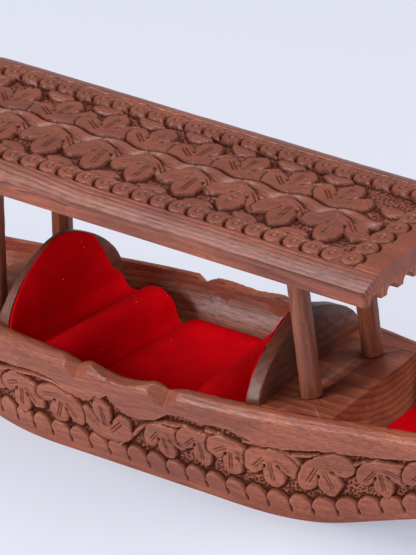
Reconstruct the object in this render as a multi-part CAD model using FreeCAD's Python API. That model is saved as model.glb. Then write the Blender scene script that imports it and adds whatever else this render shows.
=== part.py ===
"""Carved walnut shikara: a showpiece lake boat with a canopy on four posts.

Every piece is one closed solid, written to parts/NODE.step in millimetres.
+X points to the bow, +Y to port, +Z up; z = 0 is the flat bottom of the hull.
Stations called "from cabin_x" are counted from the middle of the gunwale saddle.
"""
import FreeCAD
import Part
import math
import os

V = FreeCAD.Vector

# ---- hull: lines ---------------------------------------------------------------
hull_length = 440.0          # tip to tip
beam_rim = 79.2              # over the gunwales, at the widest station
beam_bottom = 64.4           # flat bottom, at the widest station
# share of the half-length, then of the rim's and of the bottom's half-beam there
lines = [(0.0, 1.0, 1.0), (0.136, 0.967, 1.0), (0.245, 0.896, 0.975), (0.318, 0.831, 0.870),
         (0.409, 0.742, 0.733), (0.614, 0.535, 0.491), (0.818, 0.333, 0.261), (0.977, 0.164, 0.081)]
well_reach = 0.9             # the wells use the lines this far out
rim_z = 38.5                 # gunwale height at the widest station
bow_sheer = (4.3, 12.0)      # rise of the gunwale about half way out, and at the tip
stern_sheer = (-1.9, 3.5)
tip_thickness = 7.0          # keel to gunwale at both tips
bottom_flat = 71.0           # half-length of the flat bottom, to the knuckle
knuckle_radius = 64.0        # rounding where the bottom turns up
rim_round = 4.0              # outer edge of the gunwale

# ---- hull: wells and decks -----------------------------------------------------
wall = 5.6                   # hull side, measured across
cabin_x = -6.0               # middle of the gunwale saddle
cabin_aft = -58.5            # cabin end walls on the centreline, from cabin_x
cabin_fwd = 53.0
deck_bow, deck_stern = 27.5, 26.5        # length of each deck
bow_well, stern_well = 51.0, 44.0        # length of each outer well
cabin_floor_z = 21.8
bow_floor_z = 22.2
stern_floor_z = 26.6
splay = 4.3                  # degrees by which the cross walls open towards starboard
well_corner = 6.0            # corner radius at the outer wells' far ends

# ---- gunwale saddle: a hollow between two chisel cuts, on both gunwales --------
notch_x = 19.4               # chisel cuts, from cabin_x
notch_depth = 2.2
notch_half = 2.7             # half-width of a cut at the rim
notch_fall = 1.2             # slope of its root, outwards over the rounded rim
hump_x = 14.0                # crests beside the hollow, from cabin_x
hollow_depth = 2.5
shoulder_x = 28.0            # where the shoulders leave the rim, from cabin_x

# ---- arched boards -------------------------------------------------------------
board_thick = 5.5
board_crown_z = 60.3
# share of the half-width at the rim, then of the rise from rim to crown
board_arch = [(0.0, 1.0), (0.44, 0.806), (0.743, 0.535), (1.0, 0.0)]
board_foot = 0.6             # the arch meets the rim this far inside the hull's side
glue_gap = 0.12              # at each side of a piece let into a well

# ---- seats ---------------------------------------------------------------------
seat_depth_stern = 26.0      # board face to seat front, at the floor
seat_depth_bow = 31.0
seat_roll = 11.8             # height of the front roll over the cabin floor
# share of the depth, then of the front roll's height: foot of the board, lowest place, then forward
seat_line = [(0.0, 1.05), (0.223, 0.593), (0.442, 0.77), (0.69, 0.97), (0.962, 0.44), (1.0, 0.0)]
seat_side_gap = 1.0          # seat to hull side

# ---- felt ----------------------------------------------------------------------
felt = 1.0                   # thickness
felt_gap = 0.1               # to the wood below
felt_margin = 1.3            # bare edge left on the boards, each side
felt_top_margin = 0.4        # and at their crowns
felt_edge = 0.5              # to the hull side and to the next sheet

# ---- posts ---------------------------------------------------------------------
post_bow_x, post_stern_x = 66.1, -69.2   # feet, from cabin_x
post_bow_y, post_stern_y = 16.5, 17.7
post_size = 7.4              # across flats
post_edge = 0.9              # softening of the eight corners
post_rake = 3.6              # degrees, heads towards the cabin
tenon_d = 4.6
tenon_deck, tenon_roof = 6.0, 4.0        # length in the deck and in the roof
tenon_gap = 0.1              # glue line in the mortises

# ---- canopy --------------------------------------------------------------------
roof_length = 210.3
roof_shift = 2.1             # its middle, from cabin_x
roof_half = 35.8
roof_under_z = 93.0
roof_edge = 5.8              # height of the plain edge
roof_rise = 4.6              # camber over the edge, at the ridge
# share of the half-width in from the eave, then of the camber
roof_line = [(0.0, 0.0), (0.125, 0.54), (0.39, 0.89), (1.0, 1.0)]
roof_corner = 1.5
flutes = 8                   # half-round flutes under each end of the roof
flute_r = 2.7
flute_margin = 5.8           # first flute from the eave
flute_run = 9.0              # a flute fades out over this length

# ---- carving: the ground is sunk round leaves, a stem and scales left standing -----------
ground_depth = 1.8
# a leaf's corners round its stalk: turn from its heading in degrees, share of its length
leaf_line = [(-105, 0.42), (-74, 0.68), (-50, 0.92), (-27, 0.66), (-11, 0.88), (0, 1.0), (12, 0.86),
             (25, 0.62), (45, 0.86), (72, 0.60), (105, 0.38), (180, 0.2)]
roof_border_end, roof_border_eave = 17.6, 15.6
roof_step = 19.9             # from leaf to leaf
roof_leaves = [(13.0, -2.2, -90, 16.6), (3.2, 2.6, 90, 15.4)]    # x, y, heading, length
stem_x = 8.0                 # a narrow place of the stem
stem_low, stem_high = -1.7, 1.5          # its edges there
stem_scallop, stem_wave = 0.17, 0.11     # bow of its starboard and of its port edge
carved_half = 165.0          # half-length of the carving on the hull's sides
even_half = 110.0            # past here it gets smaller with the height of the side
scale_pitch, scale_foot, scale_bow = 8.4, 5.6, 0.44
# lower edge of the plain gunwale band from stern to bow: distance from amidships, height, bow
band_line = [(-110.0, 23.0, 0.0), (-63.0, 25.4, 0.0), (-44.0, 28.0, 0.0), (-32.5, 25.0, 0.0),
             (-11.9, 28.8, -0.16), (14.4, 29.6, -0.22), (39.7, 30.6, 0.0), (55.0, 27.3, -0.05),
             (72.7, 28.9, 0.0), (110.0, 22.6, 0.0)]
# leaves on the even part: distance from amidships, height, heading, length
side_leaves = [(-92.0, 19.8, -84, 13.5), (-72.5, 20.2, -97, 14.0), (-53.2, 20.7, -103, 14.6),
               (-33.8, 21.3, -116, 15.0), (-16.3, 10.4, 76, 18.0), (9.5, 21.2, -86, 13.2),
               (25.6, 24.4, -88, 13.6), (38.9, 24.1, -95, 14.4), (53.4, 24.3, -82, 14.5),
               (72.5, 24.0, -76, 15.5), (94.7, 21.6, -87, 13.2)]
side_step, side_leaf_z, side_leaf = 18.5, 21.0, 13.0     # those past it

above = board_crown_z + beam_rim / 8     # a height clear of hull and boards, for cutting shapes


def spline(points):
    """Smooth curve through the points."""
    curve = Part.BSplineCurve()
    curve.interpolate(points)
    return curve


def polyline(points):
    """Straight edges from point to point."""
    return [Part.makeLine(a, b) for a, b in zip(points, points[1:])]


def face_of(edges):
    return Part.Face(Part.Wire(Part.__sortEdges__(edges)))


def through(face):
    """Face in the XZ plane, extruded evenly to port and starboard past the gunwales."""
    face.translate(V(0, -beam_rim, 0))
    return face.extrude(V(0, 2 * beam_rim, 0))


def prism_xz(edges):
    """Closed outline in the XZ plane, extruded as above."""
    return through(face_of(edges))


def tangent_arcs(points, direction):
    """Arcs from point to point, each leaving the way the last one arrived."""
    arcs = []
    direction = V(direction).normalize()
    for a, b in zip(points, points[1:]):
        chord = (b - a).normalize()
        lean = direction - chord * direction.dot(chord)
        half_turn = math.acos(min(direction.dot(chord), 1.0))
        bulge = lean.normalize() * ((b - a).Length / 2 * math.tan(half_turn / 2))
        arcs.append(Part.Arc(a, (a + b) * 0.5 + bulge, b))
        direction = chord * (2 * direction.dot(chord)) - direction
    return arcs


def bowed_face(corners, place):
    """Face inside corners that run counterclockwise: x, y, and the bow of the edge that ends there."""
    edges = []
    for (ax, ay, _), (bx, by, bow) in zip(corners[-1:] + corners[:-1], corners):
        start, end = place(ax, ay), place(bx, by)
        if bow:
            middle = place((ax + bx) / 2 + bow * (by - ay), (ay + by) / 2 - bow * (bx - ax))
            edges.append(Part.Arc(start, middle, end).toShape())
        else:
            edges.append(Part.makeLine(start, end))
    return face_of(edges)


def leaf_corners(x, y, heading, length):
    corners = []
    for turn, share in leaf_line:
        angle = math.radians(heading + turn)
        corners.append((x + share * length * math.cos(angle), y + share * length * math.sin(angle), 0.0))
    return corners


def at_x(curve, x):
    """Point where a curve that runs from stern to bow passes a station."""
    low, high = curve.FirstParameter, curve.LastParameter
    for _ in range(50):
        middle = (low + high) / 2
        if curve.value(middle).x < x:
            low = middle
        else:
            high = middle
    return curve.value(low)


# ---- hull ----------------------------------------------------------------------
def side_curve(z, inset, reach=1.0):
    """Port side's plan at height z, a wall's thickness in, from stern to bow."""
    half = []
    for share, rim, bottom in lines:
        if share <= reach:
            low, high = bottom * beam_bottom / 2, rim * beam_rim / 2
            half.append((share * hull_length / 2, low + (high - low) * z / rim_z - inset))
    stations = [(-x, y) for x, y in reversed(half[1:])] + half
    return spline([V(x, y, z) for x, y in stations])


def plan_wire(z, inset, reach):
    """Closed plan of the hull, both sides and rounded ends."""
    side = side_curve(z, inset, reach)
    end = side.value(side.LastParameter)
    nose = hull_length / 2 if inset == 0 else end.x + end.y / 2
    bow = Part.Arc(end, V(nose, 0, z), V(end.x, -end.y, z)).toShape()
    port = side.toShape()
    starboard = port.mirror(V(0, 0, 0), V(0, 1, 0))
    stern = bow.mirror(V(0, 0, 0), V(1, 0, 0))
    return Part.Wire(Part.__sortEdges__([port, bow, starboard, stern]))


def flared_body(inset=0.0, reach=1.0):
    """Ruled sides from the bottom plan up through the rim plan, well above it."""
    return Part.makeLoft([plan_wire(0.0, inset, reach), plan_wire(above, inset, reach)], True, True)


def sheer_curve():
    """Gunwale line from stern to bow, a little past both tips."""
    end, middle = hull_length / 2 + rim_round, hull_length * 0.27
    rises = [(-end, stern_sheer[1]), (-middle, stern_sheer[0]), (0.0, 0.0),
             (middle, bow_sheer[0]), (end, bow_sheer[1])]
    return spline([V(x, 0, rim_z + rise) for x, rise in rises])


def rim_at(x):
    """Height of the gunwales and decks at a station."""
    return at_x(sheer_curve(), x).z


def side_profile():
    """Sheer above, flat bottom and rising ends below, across the whole beam."""
    sheer = sheer_curve()
    stern, bow = sheer.value(sheer.FirstParameter), sheer.value(sheer.LastParameter)
    drop = V(0, 0, tip_thickness)
    under = [bow, bow - drop, V(bottom_flat, 0, 0), V(-bottom_flat, 0, 0), stern - drop, stern]
    solid = prism_xz([sheer.toShape()] + polyline(under))
    knuckles = [e for e in solid.Edges
                if abs(e.CenterOfMass.z) < 0.01 and abs(abs(e.CenterOfMass.x) - bottom_flat) < 0.01]
    return solid.makeFillet(knuckle_radius, knuckles)


def beyond(x, side, turn, z=-rim_z):
    """Everything above z on one side of a cross wall, turned about the centreline."""
    block = Part.makeBox(hull_length, 4 * beam_rim, 2 * above, V(0, -2 * beam_rim, z))
    if side < 0:
        block = block.mirror(V(0, 0, 0), V(1, 0, 0))
    block.rotate(V(0, 0, 0), V(0, 0, 1), turn)
    block.translate(V(x, 0, 0))
    return block


def well_room(name, inset=0.0, ends=0.0, lift=0.0):
    """Room of a well above its floor; inset, ends and lift shrink it for a lining."""
    aft, fwd = cabin_x + cabin_aft, cabin_x + cabin_fwd
    walls = {
        "cabin": (aft, -splay, fwd, splay, cabin_floor_z),
        "bow": (fwd + deck_bow, splay, fwd + deck_bow + bow_well, 0.0, bow_floor_z),
        "stern": (aft - deck_stern - stern_well, 0.0, aft - deck_stern, -splay, stern_floor_z),
    }
    low, low_turn, high, high_turn, floor_z = walls[name]
    room = flared_body(wall + inset, well_reach)
    room = room.common(beyond(low + ends, 1, low_turn, floor_z + lift))
    room = room.common(beyond(high - ends, -1, high_turn))
    if name != "cabin":
        far = high - ends if name == "bow" else low + ends
        corners = [e for e in room.Edges if abs(e.CenterOfMass.x - far) < 0.5
                   and e.BoundBox.ZLength > rim_z / 2 and abs(e.CenterOfMass.y) > 1.0]
        room = room.makeFillet(well_corner - inset, corners)
    return room


def lay_on_saddle(shape):
    """Turn and lift a shape made about the origin onto the gunwales at the saddle."""
    aft, fwd = rim_at(cabin_x - shoulder_x), rim_at(cabin_x + shoulder_x)
    shape.rotate(V(0, 0, 0), V(0, 1, 0), -math.degrees(math.atan2(fwd - aft, 2 * shoulder_x)))
    shape.translate(V(cabin_x, 0, (aft + fwd) / 2))
    return shape


def saddle_cut():
    """What the gunwales lose amidships: two shoulders and the hollow between crests."""
    middle = (shoulder_x + notch_x) / 2
    shoulder = spline([V(notch_x, 0, -notch_depth * 0.9), V(middle, 0, -notch_depth * 0.3),
                       V(shoulder_x, 0, 0.1)])
    crest = spline([V(hump_x, 0, 0.1), V((hump_x + notch_x) / 2, 0, -notch_depth * 0.3),
                    V(notch_x, 0, -notch_depth * 0.9)])
    hollow = spline([V(-hump_x, 0, 0.1), V(-hump_x * 0.6, 0, -hollow_depth * 0.55),
                     V(0, 0, -hollow_depth), V(hump_x * 0.6, 0, -hollow_depth * 0.55),
                     V(hump_x, 0, 0.1)])
    forward = [shoulder.toShape(), crest.toShape()]
    aft = [e.mirror(V(0, 0, 0), V(1, 0, 0)) for e in forward]
    lid = polyline([V(shoulder_x, 0, 0.1), V(shoulder_x, 0, rim_z), V(-shoulder_x, 0, rim_z),
                    V(-shoulder_x, 0, 0.1)])
    return lay_on_saddle(prism_xz(forward + aft + lid + [hollow.toShape()]))


def chisel_cuts():
    """Four V cuts whose roots fall outwards over the rounded gunwales."""
    inner_y = beam_rim / 2 - wall - rim_round
    run = wall + 2 * rim_round
    lip = rim_z
    flare = notch_half / notch_depth * lip
    cuts = []
    for x in (-notch_x, notch_x):
        root = V(x, inner_y, rim_round * notch_fall - notch_depth)
        corner = V(x, inner_y, root.z + lip)
        v_face = Part.Face(Part.makePolygon([root, corner - V(flare, 0, 0), corner + V(flare, 0, 0), root]))
        cut = v_face.extrude(V(0, run, -run * notch_fall))
        cuts += [lay_on_saddle(cut.copy()), lay_on_saddle(cut.mirror(V(0, 0, 0), V(0, 1, 0)))]
    return cuts


def side_height(x):
    """Heights of the bottom edge and of the side over it at a station, without the knuckle's rounding."""
    end = hull_length / 2 + rim_round
    tip = rim_z + (bow_sheer[1] if x > 0 else stern_sheer[1]) - tip_thickness
    bottom = max(0.0, (abs(x) - bottom_flat) / (end - bottom_flat) * tip)
    return bottom, rim_at(x) - bottom


def side_reach(end):
    """How fast the carving gets smaller past its even part, and its reach in its own units."""
    shrink = side_height(end * carved_half)[1] / side_height(end * even_half)[1]
    fall = (1 - shrink) / (carved_half - even_half)
    return fall, even_half - math.log(shrink) / fall


def side_place(u, q):
    """Where a point of the carving's layout lies in the hull's side view."""
    end = 1 if u > 0 else -1
    fall = side_reach(end)[0]
    size = math.exp(-fall * max(abs(u) - even_half, 0.0))
    x = end * (min(abs(u), even_half) + (1 - size) / fall)
    return V(x, 0, side_height(x)[0] + q * size)


def side_field():
    """Corners of the carved field: the row of scales, then back under the gunwale band."""
    first, last = (end * int(side_reach(end)[1] / scale_pitch) for end in (-1, 1))
    corners = [(scale_pitch * first, scale_foot, 0.0)]
    corners += [(scale_pitch * k, scale_foot, -scale_bow) for k in range(first + 1, last + 1)]
    corners.append((scale_pitch * last, band_line[-1][1], 0.0))
    bow = 0.0
    for x, y, bow_before in reversed(band_line):
        corners.append((x, y, bow))
        bow = bow_before
    corners.append((scale_pitch * first, band_line[0][1], 0.0))
    return corners


def side_ground():
    """What is cut from both sides' carved fields: all but the leaves."""
    leaves = list(side_leaves)
    for end in (-1, 1):
        for k in range(int((side_reach(end)[1] - even_half) / side_step)):
            leaves.append((end * (even_half + side_step * (k + 0.2)), side_leaf_z, -90, side_leaf))
    standing = [through(bowed_face(leaf_corners(*leaf), side_place)) for leaf in leaves]
    field = through(bowed_face(side_field(), side_place))
    return field.cut([flared_body(ground_depth)] + standing)


def make_hull():
    hull = flared_body().common(side_profile())
    rims = [e for e in hull.Edges if e.Length > hull_length / 2 and e.CenterOfMass.z > rim_z / 2]
    hull = hull.makeFillet(rim_round, rims)
    cuts = [well_room(name) for name in ("cabin", "bow", "stern")]
    cuts += [saddle_cut()] + chisel_cuts()
    cuts += [place_post(tenon_pin(tenon_gap), place) for place in post_places()]
    return hull.cut(cuts + [side_ground()])


# ---- posts ---------------------------------------------------------------------
def post_places():
    """x and y of each foot on its deck."""
    bow, stern = cabin_x + post_bow_x, cabin_x + post_stern_x
    return [(bow, post_bow_y), (bow, -post_bow_y), (stern, post_stern_y), (stern, -post_stern_y)]


def post_length(x):
    return (roof_under_z - rim_at(x)) / math.cos(math.radians(post_rake))


def tenon_pin(grow=0.0):
    """Round pin that runs from mortise to mortise along a post's middle."""
    return lambda x: Part.makeCylinder(
        tenon_d / 2 + grow, tenon_deck + post_length(x) + tenon_roof + 2 * grow, V(0, 0, -tenon_deck - grow))


def shaft(x):
    """Eight-sided shaft, longer than the post at both ends."""
    corner = post_size / 2 / math.cos(math.pi / 8)
    angles = [math.pi / 8 + k * math.pi / 4 for k in range(9)]
    ring = [V(corner * math.cos(a), corner * math.sin(a), -post_size) for a in angles]
    length = post_length(x) + 2 * post_size
    solid = Part.Face(Part.makePolygon(ring)).extrude(V(0, 0, length))
    return solid.makeFillet(post_edge, [e for e in solid.Edges if e.Length > length / 2])


def place_post(build, place):
    """Rake a shape made along the post's own axis and stand it on its deck."""
    x, y = place
    solid = build(x)
    solid.rotate(V(0, 0, 0), V(0, 1, 0), -post_rake if x > cabin_x else post_rake)
    solid.translate(V(x, y, rim_at(x)))
    return solid


def make_post(place):
    """Shaft scribed to the deck and to the roof's underside, with its tenons."""
    sheer = sheer_curve()
    stern, bow = sheer.value(sheer.FirstParameter), sheer.value(sheer.LastParameter)
    roof = [bow, V(bow.x, 0, roof_under_z), V(stern.x, 0, roof_under_z), stern]
    between = prism_xz([sheer.toShape()] + polyline(roof))
    post = place_post(shaft, place).common(between)
    return post.fuse(place_post(tenon_pin(), place)).removeSplitter()


# ---- cabin ends: board, seat and felt ------------------------------------------
# Each is made with its cross wall at x = 0 and the cabin towards +x, then set in place.
CABIN_ENDS = {
    "stern": (cabin_x + cabin_aft, 1, seat_depth_stern),
    "bow": (cabin_x + cabin_fwd, -1, seat_depth_bow),
}


def set_end(shape, end):
    """Carry a shape from the making frame to its end of the cabin."""
    wall_x, toward, _ = CABIN_ENDS[end]
    if toward < 0:
        shape = shape.mirror(V(0, 0, 0), V(1, 0, 0))
    shape.rotate(V(0, 0, 0), V(0, 0, 1), -toward * splay)
    shape.translate(V(wall_x, 0, 0))
    return shape


def arch_block(end, margin=-board_foot, top_margin=0.0):
    """Everything under the boards' arch; the felt's margins draw the outline in."""
    wall_x = CABIN_ENDS[end][0]
    rim = rim_at(wall_x)
    half = at_x(side_curve(rim, wall, well_reach), wall_x).y - margin
    rise = board_crown_z - top_margin - rim
    right = [(half * y, rim + rise * z) for y, z in board_arch]
    top = [V(0, -y, z) for y, z in reversed(right[1:])] + [V(0, y, z) for y, z in right]
    under = [top[-1], V(0, half, 0), V(0, -half, 0), top[0]]
    face = face_of([spline(top).toShape()] + polyline(under))
    face.translate(V(-hull_length / 2, 0, 0))
    return set_end(face.extrude(V(hull_length, 0, 0)), end)


def make_board(end):
    """Arched board on the cabin floor, its back flat against the deck's end."""
    slab = Part.makeBox(board_thick, 2 * beam_rim, above, V(0, -beam_rim, cabin_floor_z))
    board = set_end(slab, end).common(arch_block(end))
    return board.common(flared_body(wall + glue_gap, well_reach))


def seat_arcs(end, lift=0.0):
    """Top line of a seat from the board's face over the front roll to the floor, or parallel to it."""
    depth = CABIN_ENDS[end][2]
    points = [V(board_thick + x * depth, 0, cabin_floor_z + z * seat_roll) for x, z in seat_line]
    rise = tangent_arcs([points[1], points[0]], V(-1, 0, 0))[0]
    rise = Part.Arc(points[0], rise.value((rise.FirstParameter + rise.LastParameter) / 2), points[1])
    arcs = [rise] + tangent_arcs(points[1:], V(1, 0, 0))
    return [parallel(arc, lift) for arc in arcs] if lift else arcs


def parallel(arc, distance):
    """Arc at a distance to the upper side of one that runs from the board to the floor."""
    first, last = arc.FirstParameter, arc.LastParameter
    points = []
    for u in (first, (first + last) / 2, last):
        along = arc.tangent(u)[0]
        points.append(arc.value(u) + V(-along.z, 0, along.x) * distance)
    return Part.Arc(*points)


def ends_of(arcs):
    return arcs[0].value(arcs[0].FirstParameter), arcs[-1].value(arcs[-1].LastParameter)


def make_seat(end):
    """Shaped block on the cabin floor against the board."""
    arcs = seat_arcs(end)
    top, front = ends_of(arcs)
    back = [front, V(top.x, 0, front.z), top]
    seat = set_end(prism_xz([arc.toShape() for arc in arcs] + polyline(back)), end)
    seat = seat.common(flared_body(wall + seat_side_gap, well_reach))
    return seat.common(arch_block(end, felt_margin, felt_top_margin))


def make_seat_felt(end):
    """One sheet from the board's crown down over the seat to the floor."""
    under, over = seat_arcs(end, felt_gap), seat_arcs(end, felt_gap + felt)
    (u0, u1), (o0, o1) = ends_of(under), ends_of(over)
    climb = [u0, V(u0.x, 0, board_crown_z), V(o0.x, 0, board_crown_z), o0]
    outline = [arc.toShape() for arc in under + over] + polyline(climb) + polyline([u1, o1])
    sheet = set_end(prism_xz(outline), end)
    sheet = sheet.common(flared_body(wall + seat_side_gap, well_reach))
    sheet = sheet.common(arch_block(end, felt_margin, felt_top_margin))
    return sheet.common(beyond(-hull_length / 2, 1, 0.0, cabin_floor_z + felt_gap))


def make_floor_felt():
    """Sheet on the cabin floor between the two seats."""
    sheet = flared_body(wall + felt_edge, well_reach)
    for end, (wall_x, toward, depth) in CABIN_ENDS.items():
        front = board_thick + depth + felt_gap + felt + felt_edge
        sheet = sheet.common(beyond(wall_x + toward * front, toward, -toward * splay,
                                    cabin_floor_z + felt_gap))
    return sheet.cut(beyond(-hull_length / 2, 1, 0.0, cabin_floor_z + felt_gap + felt))


def make_well_felt(name):
    """Sheet on the floor of an outer well."""
    floor_z = {"bow": bow_floor_z, "stern": stern_floor_z}[name]
    sheet = well_room(name, felt_edge, felt_edge, felt_gap)
    return sheet.cut(beyond(-hull_length / 2, 1, 0.0, floor_z + felt_gap + felt))


# ---- canopy --------------------------------------------------------------------
def cambered(drop, far_z):
    """Solid of the roof's length between its camber, lowered by drop, and the height far_z."""
    eave_z = roof_under_z + roof_edge - drop
    e, d, c, top = [V(0, roof_half * (1 - y), eave_z + roof_rise * z) for y, z in roof_line]
    e2, d2, c2 = [V(0, -p.y, p.z) for p in (e, d, c)]
    arcs = [Part.Arc(e, d, c).toShape(), Part.Arc(c, top, c2).toShape(), Part.Arc(c2, d2, e2).toShape()]
    face = face_of(arcs + polyline([e, V(0, e.y, far_z), V(0, e2.y, far_z), e2]))
    face.translate(V(cabin_x + roof_shift - roof_length / 2, 0, 0))
    return face.extrude(V(roof_length, 0, 0))


def stem_corners(count):
    """Scalloped towards starboard, gently waved towards port."""
    ends = [stem_x + roof_step * k for k in (-count, count)]
    corners = [(ends[0], stem_low, 0.0)]
    corners += [(ends[0] + roof_step * k, stem_low, stem_scallop) for k in range(1, 2 * count + 1)]
    corners.append((ends[1], stem_high, 0.0))
    corners += [(ends[1] - roof_step * k / 2, stem_high, stem_wave if k % 2 == 0 else -stem_wave)
                for k in range(1, 4 * count + 1)]
    return corners


def roof_ground():
    """What is cut from the roof's carved field: all but a twisted stem and the leaves on both sides."""
    middle, low = cabin_x + roof_shift, roof_under_z
    half_x, half_y = roof_length / 2 - roof_border_end, roof_half - roof_border_eave
    count = int(half_x / roof_step) + 1
    outlines = [stem_corners(count)]
    for x, y, heading, length in roof_leaves:
        for k in range(-count, count + 1):
            if abs(x + roof_step * k) < half_x - length / 2:
                outlines.append(leaf_corners(x + roof_step * k, y, heading, length))
    standing = [bowed_face(corners, lambda x, y: V(middle + x, y, low)).extrude(V(0, 0, above))
                for corners in outlines]
    field = Part.makeBox(2 * half_x, 2 * half_y, above, V(middle - half_x, -half_y, low))
    return field.common(cambered(ground_depth, low + above)).cut(standing)


def make_canopy():
    """Cambered roof plank, carved on top, fluted under both ends, mortised for the posts."""
    middle = cabin_x + roof_shift
    roof = cambered(0.0, roof_under_z)
    corners = [e for e in roof.Edges if abs(e.BoundBox.ZLength - roof_edge) < 0.01
               and e.BoundBox.YLength < 0.01 and e.BoundBox.XLength < 0.01]
    roof = roof.makeFillet(roof_corner, corners)
    pitch = 2 * (roof_half - flute_margin) / (flutes - 1)
    fall = math.degrees(math.atan2(flute_r, flute_run))
    cuts = [place_post(tenon_pin(tenon_gap), place) for place in post_places()]
    cuts.append(roof_ground())
    for side in (-1, 1):
        for k in range(flutes):
            flute = Part.makeCylinder(flute_r, 4 * flute_run, V(0, 0, -2 * flute_run))
            flute.rotate(V(0, 0, 0), V(0, 1, 0), side * (90 + fall))
            flute.translate(V(middle + side * roof_length / 2, pitch * k - roof_half + flute_margin,
                              roof_under_z))
            cuts.append(flute)
    return roof.cut(cuts)


def make_all():
    """Every piece by its node name."""
    pieces = {"hull": make_hull(), "canopy": make_canopy()}
    names = ("post_bow_port", "post_bow_starboard", "post_stern_port", "post_stern_starboard")
    for name, place in zip(names, post_places()):
        pieces[name] = make_post(place)
    for end in CABIN_ENDS:
        pieces["board_" + end] = make_board(end)
        pieces["seat_" + end] = make_seat(end)
        pieces["seat_felt_" + end] = make_seat_felt(end)
        pieces["well_felt_" + end] = make_well_felt(end)
    pieces["cabin_floor_felt"] = make_floor_felt()
    return pieces


os.makedirs("parts", exist_ok=True)
for node, solid in make_all().items():
    solid.exportStep("parts/" + node + ".step")
    print(node, "solids", len(solid.Solids), "valid", solid.isValid(), "volume", round(solid.Volume, 1))
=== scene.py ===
"""Looks of a carved walnut shikara: carved hull and roof, hand-worn boards and posts, red felt linings."""
import math

import bmesh
import bpy
import numpy as np
from mathutils import Matrix, Vector
from mathutils.bvhtree import BVHTree


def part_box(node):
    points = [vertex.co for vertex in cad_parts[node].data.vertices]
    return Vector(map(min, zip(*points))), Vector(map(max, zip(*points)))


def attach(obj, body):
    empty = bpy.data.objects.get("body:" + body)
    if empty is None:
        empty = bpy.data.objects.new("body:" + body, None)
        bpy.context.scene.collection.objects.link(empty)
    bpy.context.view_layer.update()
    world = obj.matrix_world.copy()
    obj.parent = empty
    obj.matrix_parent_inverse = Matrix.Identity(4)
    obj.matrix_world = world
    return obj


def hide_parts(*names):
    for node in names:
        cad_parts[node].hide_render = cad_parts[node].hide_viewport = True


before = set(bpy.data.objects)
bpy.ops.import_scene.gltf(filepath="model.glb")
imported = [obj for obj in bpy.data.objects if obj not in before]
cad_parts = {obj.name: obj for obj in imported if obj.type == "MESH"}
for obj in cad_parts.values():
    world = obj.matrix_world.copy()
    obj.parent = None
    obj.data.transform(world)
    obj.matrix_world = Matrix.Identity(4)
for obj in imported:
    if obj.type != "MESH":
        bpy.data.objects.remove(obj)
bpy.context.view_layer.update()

MM = 0.001


# ---- camera ----
AZIMUTH, ELEVATION, ROLL = math.radians(40.9), math.radians(27.9), math.radians(-4.6)
DISTANCE = 2.521  # metres from the point that it aims at
LENS, SENSOR = 475.4, 36.0  # millimetres
AIM_X = -0.07516  # the aim starts at this point of the keel line
AIM_RIGHT, AIM_UP = 0.06044, 0.02969  # and lies this far right and up of it in the view


def make_camera():
    """Long lens from the starboard bow quarter, tipped a little about its own axis."""
    right = Vector((math.cos(AZIMUTH), math.sin(AZIMUTH), 0.0))
    up = Vector((-math.sin(AZIMUTH) * math.sin(ELEVATION), math.cos(AZIMUTH) * math.sin(ELEVATION),
                 math.cos(ELEVATION)))
    back = right.cross(up)
    aim = right * AIM_RIGHT + up * AIM_UP + Vector((AIM_X, 0, 0))
    data = bpy.data.cameras.new("camera")
    data.lens = LENS
    data.sensor_width = SENSOR
    data.clip_start = 0.1
    camera = bpy.data.objects.new("camera", data)
    bpy.context.scene.collection.objects.link(camera)
    across = right * math.cos(ROLL) + up * math.sin(ROLL)
    upward = up * math.cos(ROLL) - right * math.sin(ROLL)
    axes = [across, upward, back]
    place = [[axes[c][r] for c in range(3)] + [(aim + back * DISTANCE)[r]] for r in range(3)]
    camera.matrix_world = Matrix(place + [[0, 0, 0, 1]])
    bpy.context.scene.camera = camera


# ---- noise on plain arrays ----
def drift(u, v, span_u, span_v, seed, cells=64):
    """Smooth random waves from -1 to 1, about one hill every span."""
    grid = np.random.default_rng(seed).uniform(-1, 1, (cells, cells))
    a, b = u / span_u, v / span_v
    i, j = np.floor(a).astype(int), np.floor(b).astype(int)
    s, t = smooth_step(a - i), smooth_step(b - j)
    i, j, next_i, next_j = i % cells, j % cells, (i + 1) % cells, (j + 1) % cells
    near = grid[i, j] * (1 - t) + grid[i, next_j] * t
    far = grid[next_i, j] * (1 - t) + grid[next_i, next_j] * t
    return near * (1 - s) + far * s


def punched(u, v, pitch, seed, cells=(97, 89)):
    """Distance to the nearest mark of a hand-held punch, in pitches."""
    jitter = np.random.default_rng(seed).uniform(0.1, 0.9, (*cells, 2))
    i, j = np.floor(u / pitch).astype(int), np.floor(v / pitch).astype(int)
    best = np.full(u.shape, 9.0)
    for di in (-1, 0, 1):
        for dj in (-1, 0, 1):
            spot = jitter[(i + di) % cells[0], (j + dj) % cells[1]]
            du = i + di + spot[..., 0] - u / pitch
            dv = j + dj + spot[..., 1] - v / pitch
            best = np.minimum(best, np.hypot(du, dv))
    return best


def punched_ground(u, v, level, sway, span, pitch, seed):
    """Heights of a sunk ground that sways about its level, under the marks of a punch."""
    ground = level - sway * drift(u, v, span, span, seed)
    return ground - 0.75 * np.clip(1 - punched(u, v, pitch, seed + 1) / 0.5, 0, 1)


def smooth_step(x):
    """0 below 0, 1 above 1, and an even S between them."""
    x = np.clip(x, 0.0, 1.0)
    return x * x * (3 - 2 * x)


def bell(reach, sigma):
    """Weights of a Gaussian blur over so many neighbours to both sides."""
    weights = np.exp(-0.5 * (np.arange(-reach, reach + 1) / sigma) ** 2)
    return weights / weights.sum()


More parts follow.
